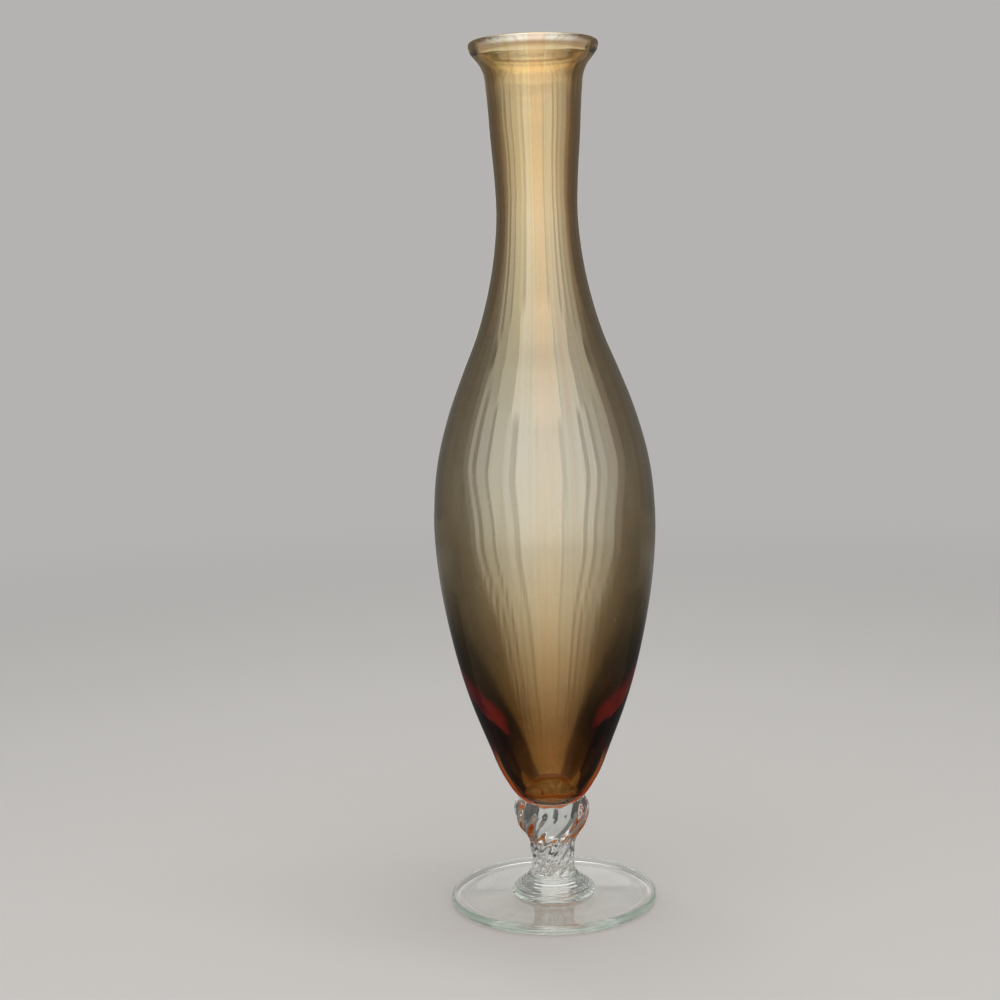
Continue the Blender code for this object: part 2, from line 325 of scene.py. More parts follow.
# Spans round the vase: the azimuths where each starts and ends, with 0 on the camera's side, and its columns
FRONT_END = 112
BACK_START = 166
FRONT_SPAN = (-FRONT_END, FRONT_END, 448)
LEFT_SPAN = (-BACK_START, -FRONT_END, 12)
RIGHT_SPAN = (FRONT_END, BACK_START, 12)
BACK_SPAN = (BACK_START, 360 - BACK_START, 14)
BEHIND_SPAN = (FRONT_END, 360 - FRONT_END, 136)
ALL_ROUND = (-180, 180, 72)

# Cards and walls round the vase: their distances, heights and levels
BACK_WALL_PROFILE = ((1.75, 0.25), (1.75, 2.0))
BACK_WALL_LEVELS = ((0.25, 0.8),)
MOUTH_GLOW_HEIGHTS = (0.58, 0.61, 0.64, 0.67, 0.70, 0.95)
MOUTH_GLOW_LEVELS = ((0.60, BACKDROP_LEVEL), (0.70, 0.95))
CEILING_HEIGHT = 1.8
CEILING_DISTANCES = (0.95, 0.6, 0.3, 0.02)
CEILING_LEVELS = ((0.3, 2.2), (0.95, 1.3))
CARD_LIFT = 0.0062
CARD_CROWDING = 1.5
DARK_CARD_LEVELS = ((0.06, 0.05), (0.25, 0.16), (0.7, 0.26), (1.25, 0.17))
FLOOR_CARD_START = 0.0235
FLOOR_CARD_REACH = 1.6
FLOOR_CARD_ROWS = 14
BACK_CARD_LIFT = CARD_LIFT + 0.0004
BACK_CARD_START = 0.062
BACK_CARD_REACH = 0.84
BACK_CARD_ROWS = 12
BACK_CARD_LEVELS = ((0.35, 0.07), (0.85, 0.22))
PALE_STRIP_EDGE = (9.0, 12.0)
SIDE_CARD_PROFILE = ((1.62, 0.001), (1.62, 2.0))


# Outlines


def smooth_outline(knots, steps=OUTLINE_STEPS):
    """Return points on a smooth outline through the knots, with the given number of chords in each span."""
    knots = [Vector(knot) for knot in knots]
    tangents = [None] * len(knots)
    for index in range(1, len(knots) - 1):
        before = knots[index] - knots[index - 1]
        after = knots[index + 1] - knots[index]
        turned = before.normalized() * after.length + after.normalized() * before.length
        tangents[index] = turned.normalized()
    first_chord = (knots[1] - knots[0]).normalized()
    last_chord = (knots[-1] - knots[-2]).normalized()
    tangents[0] = 2 * tangents[1].dot(first_chord) * first_chord - tangents[1]
    tangents[-1] = 2 * tangents[-2].dot(last_chord) * last_chord - tangents[-2]
    if knots[0].x == 0:
        tangents[0] = Vector((1, 0))
    outline = []
    for index in range(len(knots) - 1):
        reach = (knots[index + 1] - knots[index]).length / 3
        leave = knots[index] + tangents[index] * reach
        arrive = knots[index + 1] - tangents[index + 1] * reach
        outline += interpolate_bezier(knots[index], leave, arrive, knots[index + 1], steps + 1)[:-1]
    return outline + [knots[-1]]


def offset_outline(outline, distance):
    """Return the outline moved to its right by the distance; it starts on or beside the axis."""
    moved = []
    for index, point in enumerate(outline):
        ahead = outline[min(index + 1, len(outline) - 1)]
        behind = outline[max(index - 1, 0)]
        along = (ahead - behind).normalized()
        if point.x == 0:
            along = Vector((1, 0))
        moved.append(point + Vector((along.y, -along.x)) * distance)
    return moved


def even_points(outline, count):
    """Return points spread evenly along an outline, with both of its ends."""
    lengths = [(after - before).length for before, after in zip(outline, outline[1:])]
    points = []
    for index in range(count):
        left = sum(lengths) * index / count
        span = 0
        while left > lengths[span]:
            left -= lengths[span]
            span += 1
        points.append(outline[span].lerp(outline[span + 1], left / lengths[span]))
    return points + [outline[-1]]


def radius_at(outline, height):
    """Return the radius of a rising outline at a height."""
    for before, after in zip(outline, outline[1:]):
        if before.y <= height <= after.y:
            return before.lerp(after, (height - before.y) / (after.y - before.y)).x
    return outline[-1].x


def ring(radius, height, segments=ROUND_SEGMENTS):
    """Return one ring of points about the axis, or a single point on it."""
    if radius == 0:
        return [(0, 0, height)]
    angles = [math.tau * index / segments for index in range(segments)]
    return [(radius * math.cos(angle), radius * math.sin(angle), height) for angle in angles]


def bands_between(rings, start):
    """Return the bands of faces that join rings of points, with the points counted from the start."""
    bands = []
    for lower, upper in zip(rings, rings[1:]):
        above = start + len(lower)
        band = []
        for turn in range(max(len(lower), len(upper))):
            corners = (
                start + turn % len(lower),
                start + (turn + 1) % len(lower),
                above + (turn + 1) % len(upper),
                above + turn % len(upper),
            )
            band.append(list(dict.fromkeys(corners)))
        bands.append(band)
        start = above
    return bands


def closed_piece(name, rings, lift, material, marks, seeds=()):
    """Join rings of points, which run up the outside from the axis and back to it, into one closed piece.

    Marks name bands of faces: fused seats, the inner wall, or those with a painted golden glint. Seeds are
    closed hollows.
    """
    faces, bands = [], []
    for index, band in enumerate(bands_between(rings, 0)):
        faces += band
        bands += [index] * len(band)
    points = sum(rings, [])
    for seed in seeds:
        shell = seed_rings(*seed)
        sides = [side[:1] + side[:0:-1] for side in sum(bands_between(shell, len(points)), [])]
        faces += sides
        bands += [SEED_BAND] * len(sides)
        points += sum(shell, [])
    mesh = bpy.data.meshes.new(name)
    mesh.from_pydata([(x, y, z + lift) for x, y, z in points], [], faces)
    for mark, marked in marks.items():
        values = [1.0 if band in marked else 0.0 for band in bands]
        mesh.attributes.new(mark, "FLOAT", "FACE").data.foreach_set("value", values)
    mesh.shade_smooth()
    mesh.set_sharp_from_angle(angle=math.radians(SHARP_ANGLE_DEGREES))
    mesh.materials.append(material)
    piece = bpy.data.objects.new(name, mesh)
    bpy.context.collection.objects.link(piece)
    return piece


# Pieces of the vase


def foot_outline():
    """Outline of the foot: hollow underside, resting ring, rounded rim, then the top to the collar's seat."""
    rim_middle = FOOT_RADIUS - FOOT_RIM_RADIUS
    outline = []
    for index in range(HOLLOW_STEPS + 1):
        share = index / HOLLOW_STEPS
        outline.append(Vector((FOOT_HOLLOW_RADIUS * share, FOOT_HOLLOW_DEPTH * (1 - share**2))))
    for index in range(ROUND_STEPS + 1):
        turn = math.pi * index / ROUND_STEPS
        across = FOOT_RIM_RADIUS * math.sin(turn)
        up = FOOT_RIM_RADIUS * (1 - math.cos(turn))
        outline.append(Vector((rim_middle + across, up)))
    seat_edge = COLLAR_RADIUS + FOOT_SEAT_MARGIN
    plate_edge = rim_middle - RIM_BLEND_SHARE * FOOT_RIM_RADIUS
    drop = FOOT_CENTRE_THICKNESS - FOOT_PLATE_THICKNESS
    knots = []
    for out_share, drop_share in reversed(FOOT_TOP_SHARES):
        radius = seat_edge + (plate_edge - seat_edge) * out_share
        knots.append((radius, FOOT_CENTRE_THICKNESS - drop * drop_share))
    outline += smooth_outline([outline[-1]] + knots)[1:]
    return outline + [Vector((0, FOOT_CENTRE_THICKNESS))]


def collar_outline(top_radius):
    """Outline of the collar: flat base, rounded edge, flare with wound rings, then the flat top."""
    spread = COLLAR_RADIUS - top_radius

    def points(shares):
        return [(top_radius + spread * out, COLLAR_HEIGHT * up) for up, out in shares]

    edge = smooth_outline(points(COLLAR_BASE_SHARES))
    flare = even_points(smooth_outline(points(COLLAR_FLARE_SHARES)), COLLAR_RINGS)
    grooved = []
    for index, point in enumerate(flare):
        turn = math.tau * COLLAR_RING_COUNT * index / COLLAR_RINGS
        depth = COLLAR_RING_DEPTH * (1 - math.cos(turn)) / 2
        behind = flare[max(index - 1, 0)]
        ahead = flare[min(index + 1, COLLAR_RINGS)]
        along = (ahead - behind).normalized()
        grooved.append(point - Vector((along.y, -along.x)) * depth)
    return [Vector((0, 0))] + edge + grooved[1:] + [Vector((0, COLLAR_HEIGHT))]


def body_outline():
    """Return the bulb's outside from its bottom to the lip's widest point."""
    sections = (
        (BULB_SHARES, 0, BULB_BELLY_RADIUS, 0, BULB_BELLY_LIFT),
        (SHOULDER_SHARES, NECK_RADIUS, BULB_BELLY_RADIUS, BULB_BELLY_LIFT, SHOULDER_HEIGHT),
        (NECK_SHARES, NECK_RADIUS, NECK_TOP_RADIUS, NECK_LIFT, NECK_HEIGHT),
        (MOUTH_SHARES, NECK_TOP_RADIUS, MOUTH_RADIUS, MOUTH_LIFT, MOUTH_HEIGHT - LIP_RADIUS),
    )
    knots = []
    for shares, inner, outer, lift, tall in sections:
        knots += [(inner + (outer - inner) * out, lift + tall * up) for up, out in shares]
    return smooth_outline(knots)


def lip_points():
    """Return the rounded lip from its outer side over the top to the inside."""
    middle_radius = MOUTH_RADIUS - LIP_RADIUS
    middle_height = MOUTH_LIFT + MOUTH_HEIGHT - LIP_RADIUS
    points = []
    for index in range(1, ROUND_STEPS + 1):
        turn = math.pi * index / ROUND_STEPS
        across = LIP_RADIUS * math.cos(turn)
        up = LIP_RADIUS * math.sin(turn)
        points.append(Vector((middle_radius + across, middle_height + up)))
    return points


def inside_outline(outside):
    """Return the inside of the bulb, from under the lip down to the middle of the thick base."""
    belly = (len(BULB_SHARES) - 1) * OUTLINE_STEPS
    lip_start = MOUTH_LIFT + (MOUTH_HEIGHT - LIP_RADIUS) * LIP_START_SHARE
    below_lip = [point for point in outside if point.y < lip_start]
    upper = offset_outline(outside, -BODY_WALL)[belly : len(below_lip)]
    inner_radius = BULB_BELLY_RADIUS - BODY_WALL
    inner_lift = BULB_BELLY_LIFT - BULB_BASE_THICKNESS
    knots = [(inner_radius * out, BULB_BASE_THICKNESS + inner_lift * up) for up, out in BULB_INSIDE_SHARES]
    lower = smooth_outline(knots + [upper[0]])
    ridge = []
    for index in range(RIDGE_STEPS + 1):
        share = index / RIDGE_STEPS
        height = RIDGE_HEIGHT + RIDGE_WIDTH * (share - 0.5)
        proud = RIDGE_PROUD * (1 - math.cos(math.tau * share)) / 2
        ridge.append(Vector((radius_at(lower, height) - proud, height)))
    below = [point for point in lower if point.y < ridge[0].y]
    above = [point for point in lower if point.y > ridge[-1].y]
    return list(reversed(below + ridge + above[:-1] + upper))


def seeds_in_glass(outside, inside, count):
    """Return the small drawn-out bubbles in the wall, each as its middle, its half width and half height."""
    draw = random.Random(SEED_DRAW)
    rising = inside[::-1]
    seeds = []
    while len(seeds) < count:
        height = SEED_LOWEST + (SEED_HIGHEST - SEED_LOWEST) * draw.random() ** SEED_CROWDING
        outer = radius_at(outside, height)
        inner = radius_at(rising, height) if height > rising[0].y else 0.0
        wide = draw.uniform(*SEED_HALF_WIDTHS)
        wall = outer - inner
        if wall < SEED_ROOM * wide:
            continue
        cover = SEED_COVER * wide
        radius = outer - draw.uniform(cover, wall - cover)
        turn = draw.uniform(0, math.tau)
        middle = Vector((radius * math.cos(turn), radius * math.sin(turn), height))
        seeds.append((middle, wide, wide * draw.uniform(*SEED_STRETCH)))
    return seeds


def seed_rings(middle, wide, tall):
    """Return one seed's rings, from its bottom to its top."""
    rings = [[(middle.x, middle.y, middle.z - tall)]]
    for row in range(1, SEED_ROWS):
        slope = math.pi * row / SEED_ROWS
        loop = ring(wide * math.sin(slope), middle.z - tall * math.cos(slope), SEED_COLUMNS)
        rings.append([(middle.x + x, middle.y + y, z) for x, y, z in loop])
    return rings + [[(middle.x, middle.y, middle.z + tall)]]


def stem_rings(outside, cup_radius):
    """Return the stem's rings: the flat base, the twisted ribs up to the cup's edge, then its recess."""
    segments = STEM_RIB_COUNT * POINTS_ON_A_RIB
    seat_lift = STEM_HEIGHT - STEM_SEAT_DEPTH
    recess = [Vector((point.x, point.y + seat_lift)) for point in offset_outline(outside, JOINT_GAP)]
    below_edge = [point for point in recess if point.y < STEM_HEIGHT]
    below_edge.append(Vector((radius_at(recess, STEM_HEIGHT), STEM_HEIGHT)))
    rings = [ring(point.x, point.y, segments) for point in below_edge]

    spread = cup_radius - STEM_WAIST_RADIUS
    knots = [(STEM_WAIST_RADIUS + spread * out, STEM_HEIGHT * (1 - down)) for down, out in STEM_SHARES]
    for point in even_points(smooth_outline(knots), STEM_RINGS):
        down = 1 - point.y / STEM_HEIGHT
        fade = min(down / RIB_FADE_SHARE, 1)
        turn = math.radians(STEM_TURN_DEGREES) * down**STEM_TURN_POWER
        points = []
        for index in range(segments):
            angle = math.tau * index / segments
            dip = STEM_RIB_DEPTH * fade * (1 - math.cos(STEM_RIB_COUNT * angle)) / 2
            radius = point.x - dip
            points.append((radius * math.cos(angle - turn), radius * math.sin(angle - turn), point.y))
        rings.append(points)
    rings.append(ring(0, 0))
    return rings[::-1]


# Nodes


def start_group(name, inputs, outputs):
    """Start a node group with named value inputs and outputs; return it with its two end nodes."""
    group = bpy.data.node_groups.new(name, "ShaderNodeTree")
    for label, default in inputs:
        socket = group.interface.new_socket(name=label, in_out="INPUT", socket_type="NodeSocketFloat")
        socket.default_value = default
    for label in outputs:
        group.interface.new_socket(name=label, in_out="OUTPUT", socket_type="NodeSocketFloat")
    return group, group.nodes.new("NodeGroupInput"), group.nodes.new("NodeGroupOutput")


def place_group(tree, group, **values):
    """Place a shared group in a material with this glass's own values."""
    node = tree.nodes.new("ShaderNodeGroup")
    node.node_tree = group
    for label, value in values.items():
        node.inputs[label.replace("_", " ")].default_value = value
    return node


def fill(socket, value):
    """Give a socket another socket, a number, or a colour or vector of three numbers."""
    if isinstance(value, bpy.types.NodeSocket):
        socket.id_data.links.new(value, socket)
    elif socket.type == "RGBA":
        socket.default_value = (*value, 1)
    else:
        socket.default_value = value


def value_node(tree, operation, *values):
    """Add a maths node; each value is a socket or a plain number."""
    node = tree.nodes.new("ShaderNodeMath")
    node.operation = operation
    for socket, value in zip(node.inputs, values):
        fill(socket, value)
    return node.outputs[0]


def product(tree, first, *others):
    """Multiply values one after another."""
    for other in others:
        first = value_node(tree, "MULTIPLY", first, other)
    return first


def rest_of(tree, share):
    """Return what a share leaves of one."""
    return value_node(tree, "SUBTRACT", 1.0, share)


def vector_node(tree, operation, *vectors):
    """Add a vector maths node; each vector is a socket or three plain numbers."""
    node = tree.nodes.new("ShaderNodeVectorMath")
    node.operation = operation
    for socket, vector in zip(node.inputs, vectors):
        fill(socket, vector)
    return node.outputs["Value" if operation == "LENGTH" else "Vector"]


def own_place(tree):
    """Return the place in the piece's own space, in metres."""
    return tree.nodes.new("ShaderNodeTexCoord").outputs["Object"]


def noise_node(tree, place, scale, detail):
    """Add noise at a place."""
    noise = tree.nodes.new("ShaderNodeTexNoise")
    for label, value in (("Vector", place), ("Scale", scale), ("Detail", detail)):
        fill(noise.inputs[label], value)
    return noise.outputs["Fac"]


def stretched_noise(tree, stretch, scale, detail):
    """Add noise that is stretched along the vase's axis."""
    place = vector_node(tree, "MULTIPLY", own_place(tree), (1, 1, 1 / stretch))
    return noise_node(tree, place, scale, detail)


def meridian_noise(tree, rise, scale, detail):
    """Add noise that runs up the vase in cords, each at its own angle round the axis."""
    flat = vector_node(tree, "MULTIPLY", own_place(tree), (1, 1, 0))
    out = vector_node(tree, "NORMALIZE", flat)
    up = vector_node(tree, "MULTIPLY", own_place(tree), (0, 0, rise))
    return noise_node(tree, vector_node(tree, "ADD", out, up), scale, detail)


def ranged(tree, value, low, high, first=0.0, last=1.0, smooth=True):
    """Add a step of a value from first at low to last at high, smooth or straight."""
    step = tree.nodes.new("ShaderNodeMapRange")
    step.interpolation_type = "SMOOTHSTEP" if smooth else "LINEAR"
    labels = ("Value", "From Min", "From Max", "To Min", "To Max")
    for label, number in zip(labels, (value, low, high, first, last)):
        fill(step.inputs[label], number)
    return step.outputs["Result"]


def colour_ramp(tree, value, stops):
    """Add a colour ramp driven by a value."""
    ramp = tree.nodes.new("ShaderNodeValToRGB")
    tree.links.new(value, ramp.inputs["Fac"])
    while len(ramp.color_ramp.elements) < len(stops):
        ramp.color_ramp.elements.new(0.5)
    for element, (share, colour) in zip(ramp.color_ramp.elements, stops):
        element.position = share
        element.color = (*colour, 1)
    return ramp.outputs["Color"]


def level_ramp(tree, value, stops):
    """Add a ramp of plain levels driven by a value."""
    return colour_ramp(tree, value, [(share, (level, level, level)) for share, level in stops])


def mix_colour(tree, amount, first, second, blend="MIX"):
    """Add a colour mix; the amount is a socket or a number. The indexes are those of the colour sockets."""
    node = tree.nodes.new("ShaderNodeMix")
    node.data_type = "RGBA"
    node.blend_type = blend
    for index, value in ((0, amount), (6, first), (7, second)):
        fill(node.inputs[index], value)
    return node.outputs[2]


def mark_value(tree, name):
    """Return the value of a mark on the faces or points of a mesh."""
    mark = tree.nodes.new("ShaderNodeAttribute")
    mark.attribute_name = name
    return mark.outputs["Fac"]


def plain_shader(tree, kind, colour):
    """Add a shader that needs only a colour."""
    shader = tree.nodes.new(kind)
    fill(shader.inputs["Color"], colour)
    return shader.outputs[0]


def mix_shader(tree, amount, first, second):
    """Add a mix of two shaders."""
    mix = tree.nodes.new("ShaderNodeMixShader")
    for socket, value in zip(mix.inputs, (amount, first, second)):
        fill(socket, value)
    return mix.outputs[0]


def new_material(name):
    """Start a node material; return it with its tree and its Principled shader."""
    material = bpy.data.materials.new(name)
    material.use_nodes = True
    tree = material.node_tree
    return material, tree, tree.nodes["Principled BSDF"]


# Glasses


def hand_blown_ripple():
    """Group: the slow waves and drawn-out cords that tools and turning leave in blown glass, in metres."""
    inputs = (
        ("Wave Scale", 24.0),
        ("Wave Height", 0.0002),
        ("Cord Scale", 9.0),
        ("Cord Height", 0.00001),
        ("Band Scale", 3.4),
    )
    group, start, end = start_group("hand_blown_ripple", inputs, ("Height", "Cords", "Bands"))
    waves = stretched_noise(group, stretch=2.2, scale=start.outputs["Wave Scale"], detail=1.0)
    cords = meridian_noise(group, rise=0.9, scale=start.outputs["Cord Scale"], detail=3.0)
    bands = meridian_noise(group, rise=0.25, scale=start.outputs["Band Scale"], detail=1.5)
    wave_height = product(group, waves, start.outputs["Wave Height"])
    cord_height = product(group, cords, start.outputs["Cord Height"])
    fill(end.inputs["Height"], value_node(group, "ADD", wave_height, cord_height))
    fill(end.inputs["Cords"], cords)
    fill(end.inputs["Bands"], bands)
    return group


def dust_and_smudges():
    """Group: roughness of handled glass, from clean through finger smudges to specks of dust."""
    inputs = (
        ("Clean", 0.0),
        ("Smudged", 0.06),
        ("Dusty", 0.3),
        ("Smudge Scale", 30.0),
        ("Dust Scale", 900.0),
    )
    group, start, end = start_group("dust_and_smudges", inputs, ("Roughness",))
    smudge = noise_node(group, own_place(group), scale=start.outputs["Smudge Scale"], detail=4.0)
    speck = noise_node(group, own_place(group), scale=start.outputs["Dust Scale"], detail=0.0)
    clean_to_smudged = (start.outputs["Clean"], start.outputs["Smudged"])
    blot = ranged(group, smudge, *SMUDGE_EDGE, *clean_to_smudged, smooth=False)
    dusty = product(group, ranged(group, speck, *SPECK_EDGE, smooth=False), start.outputs["Dusty"])
    fill(end.inputs["Roughness"], value_node(group, "MAXIMUM", blot, dusty))
    return group


def share_of_height(tree, height):
    """Return a height in metres as a share of the body's own height."""
    return ranged(tree, height, BODY_LIFT, VASE_HEIGHT, smooth=False)


def leaning_share(tree, height, aside, lean, ragged):
    """Return the share of the height, sinking towards the sides by the lean, with a ragged edge."""
    sunk = value_node(tree, "SUBTRACT", height, product(tree, aside, lean))
    return share_of_height(tree, value_node(tree, "ADD", sunk, product(tree, ragged, BAND_RAGGED)))


def crimson_bands(tree, height, aside, turned, ragged):
    """Return where the thick glass beside the bulb's bottom shows crimson."""
    share = leaning_share(tree, height, aside, CRIMSON_LEAN, ragged)
    above_foot = ranged(tree, share, *CRIMSON_FOOT)
    below_head = ranged(tree, share, *CRIMSON_HEAD, 1.0, 0.0)
    return product(tree, above_foot, below_head, ranged(tree, turned, *CRIMSON_ASIDE))


def amber_glass(ripple, wear):
    """Lustred amber glass: its tint by height, deeper where it is seen edge on, partly as painted shade,
    under a thin lustre; with a painted highlight and shade on the lip, and a painted glow and glint on the
    bottom's rim, in the seat, over the crimson bands and in the ridge and seeds.
    """
    material, tree, lustred = new_material("lustred_amber_glass")
    nodes = tree.nodes
    plain = nodes.new("ShaderNodeBsdfPrincipled")
    waves = place_group(tree, ripple, **AMBER_RIPPLE)
    smudges = place_group(tree, wear, **AMBER_WEAR)
    split = nodes.new("ShaderNodeSeparateXYZ")
    fill(split.inputs[0], own_place(tree))
    height = split.outputs["Z"]
    share = share_of_height(tree, height)
    edge = nodes.new("ShaderNodeLayerWeight")
    edge.inputs["Blend"].default_value = 0.5
    aside = edge.outputs["Facing"]
    ragged = value_node(tree, "SUBTRACT", stretched_noise(tree, **RAGGED_NOISE), NOISE_MIDDLE)
    frayed = product(tree, ragged, EDGE_RAGGED, ranged(tree, share, *FRAYED_BELOW, 1.0, FRAYED_ABOVE_SHARE))
    turned = value_node(tree, "ADD", aside, frayed)

    low = ranged(tree, share, *GATHERED_BELOW, 1.0, 0.0)
    rim = product(tree, ranged(tree, aside, *RIM_STARTS), low, ranged(tree, aside, *RIM_ENDS, 1.0, 0.0))
    crimson = crimson_bands(tree, height, aside, turned, ragged)
    seated = mark_value(tree, "fused_seat")
    in_mouth = ranged(tree, share, *MOUTH_STARTS)
    bare = product(tree, mark_value(tree, "inner_wall"), rest_of(tree, in_mouth))

    facing = colour_ramp(tree, share, AMBER_FACING)
    edge_on = colour_ramp(tree, leaning_share(tree, height, aside, EDGE_LEAN, ragged), AMBER_EDGE_ON)
    begins = level_ramp(tree, share, EDGE_BEGINS)
    reaches = level_ramp(tree, share, EDGE_REACHES)
    tint = mix_colour(tree, ranged(tree, turned, begins, reaches), facing, edge_on)
    tint = mix_colour(tree, crimson, tint, CRIMSON)
    # The rim of the thick bottom gets a painted orange highlight.
    tint = mix_colour(tree, rim, tint, RIM_PAINTED_TINT)
    leaving = nodes.new("ShaderNodeNewGeometry").outputs["Backfacing"]
    tint = mix_colour(tree, product(tree, leaving, low), tint, AMBER_FAR_SIDE)
    streaks = colour_ramp(tree, waves.outputs["Cords"], AMBER_CORDS)
    tint = mix_colour(tree, 1.0, tint, streaks, "MULTIPLY")
    hues = colour_ramp(tree, waves.outputs["Bands"], LUSTRE_BANDS)
    strength = ranged(tree, share, *BANDS_GROW, BANDS_LOW_SHARE, 1.0)
    tint = mix_colour(tree, strength, tint, hues, "MULTIPLY")
    colour = mix_colour(tree, bare, tint, (1, 1, 1))

    lustred.inputs["Metallic"].default_value = LUSTRE_METALLIC
    for shader in (lustred, plain):
        fill(shader.inputs["Base Color"], colour)
        finish_glass(tree, shader, waves, smudges)
    skin = product(tree, level_ramp(tree, share, LUSTRE), rest_of(tree, rim), rest_of(tree, bare))
    surface = mix_shader(tree, skin, plain.outputs[0], lustred.outputs[0])

    # Colour of the painted glow: orange on the bottom's rim, crimson over the bands, orange in the seat.
    shine = mix_colour(tree, low, CRIMSON_PAINTED_GLOW, RIM_PAINTED_GLOW)
    shine = mix_colour(tree, seated, shine, SEAT_PAINTED_GLOW)
    # Painted orange glow in ragged curls on the fused seat, seen through the clear stem's cup.
    painted_seat_glow = product(tree, seated, ranged(tree, ragged, *SEAT_GLOW_EDGE, *SEAT_GLOW_LEVELS), SEAT_GLOW_SHARE)
    # Painted crimson glow in ragged patches over the crimson bands.
    patches = product(tree, crimson, ranged(tree, ragged, *PATCH_EDGE, *PATCH_LEVELS), CRIMSON_GLOW_SHARE)
    glowing = value_node(tree, "MAXIMUM", product(tree, rim, RIM_GLOW_SHARE), painted_seat_glow)
    glowing = value_node(tree, "MAXIMUM", glowing, patches)
    # Painted glow: a translucent layer that stands in for light through the thick glass.
    painted_glow_shader = plain_shader(tree, "ShaderNodeBsdfTranslucent", shine)
    # Painted golden glint: a translucent layer on the ridge and seeds.
    painted_glint = plain_shader(tree, "ShaderNodeBsdfTranslucent", PAINTED_GLINT_COLOUR)
    surface = mix_shader(tree, glowing, surface, painted_glow_shader)
    painted_glint_share = product(tree, mark_value(tree, "painted_glint"), RIDGE_SHARE)
    surface = mix_shader(tree, painted_glint_share, surface, painted_glint)
    body_of_glass(tree, (plain, lustred), surface, AMBER_DEPTH_COLOUR, AMBER_DENSITY, AMBER_LAMP_TINT)
    return material


def clear_glass(name, ripple, wear, colour, density, wave):
    """Clear glass with cords in it and a faint tint."""
    material, tree, shader = new_material(name)
    cord = wave * CLEAR_CORD_SHARE
    waves = place_group(tree, ripple, Wave_Scale=CLEAR_WAVE_SCALE, Wave_Height=wave, Cord_Height=cord)
    fill(shader.inputs["Base Color"], colour_ramp(tree, waves.outputs["Cords"], CLEAR_CORDS))
    finish_glass(tree, shader, waves, place_group(tree, wear, **CLEAR_WEAR))
    body_of_glass(tree, (shader,), shader.outputs[0], colour, density)
    return material


def finish_glass(tree, shader, waves, wear):
    """Set what all the glasses share: their ripple, wear and clearness."""
    shader.inputs["IOR"].default_value = 1.5
    shader.inputs["Transmission Weight"].default_value = 1.0
    fill(shader.inputs["Roughness"], wear.outputs["Roughness"])
    bump = tree.nodes.new("ShaderNodeBump")
    bump.inputs["Strength"].default_value = 1.0
    bump.inputs["Distance"].default_value = 1.0
    fill(bump.inputs["Height"], waves.outputs["Height"])
    fill(shader.inputs["Normal"], bump.outputs["Normal"])


def body_of_glass(tree, shaders, surface, colour, density, let_through=(1, 1, 1)):
    """Let lamps shine through the glass, open its fused seats and tint its thickness."""
    output = tree.nodes["Material Output"]
    free = rest_of(tree, mark_value(tree, "fused_seat"))
    for shader in shaders:
        fill(shader.inputs["Alpha"], free)
    shadow_ray = tree.nodes.new("ShaderNodeLightPath").outputs["Is Shadow Ray"]
    clear = plain_shader(tree, "ShaderNodeBsdfTransparent", let_through)
    fill(output.inputs["Surface"], mix_shader(tree, shadow_ray, surface, clear))
    depth = tree.nodes.new("ShaderNodeVolumeAbsorption")
    depth.inputs["Color"].default_value = (*colour, 1)
    depth.inputs["Density"].default_value = density
    fill(output.inputs["Volume"], depth.outputs[0])


# Studio


def make_camera():
    """Place the camera at the picture's viewing angle."""
    pitch = math.radians(CAMERA_PITCH_DEGREES)
    roll = math.radians(CAMERA_ROLL_DEGREES)
    ahead = Vector((0, math.cos(pitch), -math.sin(pitch)))
    level = Vector((1, 0, 0))
    upright = level.cross(ahead)
    right = level * math.cos(roll) + upright * math.sin(roll)
    up = upright * math.cos(roll) - level * math.sin(roll)
    data = bpy.data.cameras.new("camera")
    data.lens = CAMERA_LENS
    data.sensor_width = CAMERA_SENSOR
    camera = bpy.data.objects.new("camera", data)
    camera.matrix_world = Matrix.Translation(CAMERA_PLACE) @ Matrix((right, up, -ahead)).transposed().to_4x4()
    bpy.context.collection.objects.link(camera)
    bpy.context.scene.camera = camera


def pale_rays(tree):
    """Return a value that is 1 for camera, glossy and transmission rays."""
    rays = tree.nodes.new("ShaderNodeLightPath").outputs
    seen = value_node(tree, "MAXIMUM", rays["Is Camera Ray"], rays["Is Glossy Ray"])
    return value_node(tree, "MAXIMUM", seen, rays["Is Transmission Ray"])


def make_world():
    """Pale surroundings: seen as the backdrop's colour, and a soft fill for the floor."""
    world = bpy.data.worlds.new("studio")
    world.use_nodes = True
    bpy.context.scene.world = world
    tree = world.node_tree
    backdrop = tree.nodes["Background"]
    fill(backdrop.inputs["Color"], PALE)
    soft = tree.nodes.new("ShaderNodeBackground")
    fill(soft.inputs["Color"], (1, 1, 1))
    fill(soft.inputs["Strength"], ROOM_FILL)
    both = mix_shader(tree, pale_rays(tree), soft.outputs[0], backdrop.outputs[0])
    fill(tree.nodes["World Output"].inputs["Surface"], both)


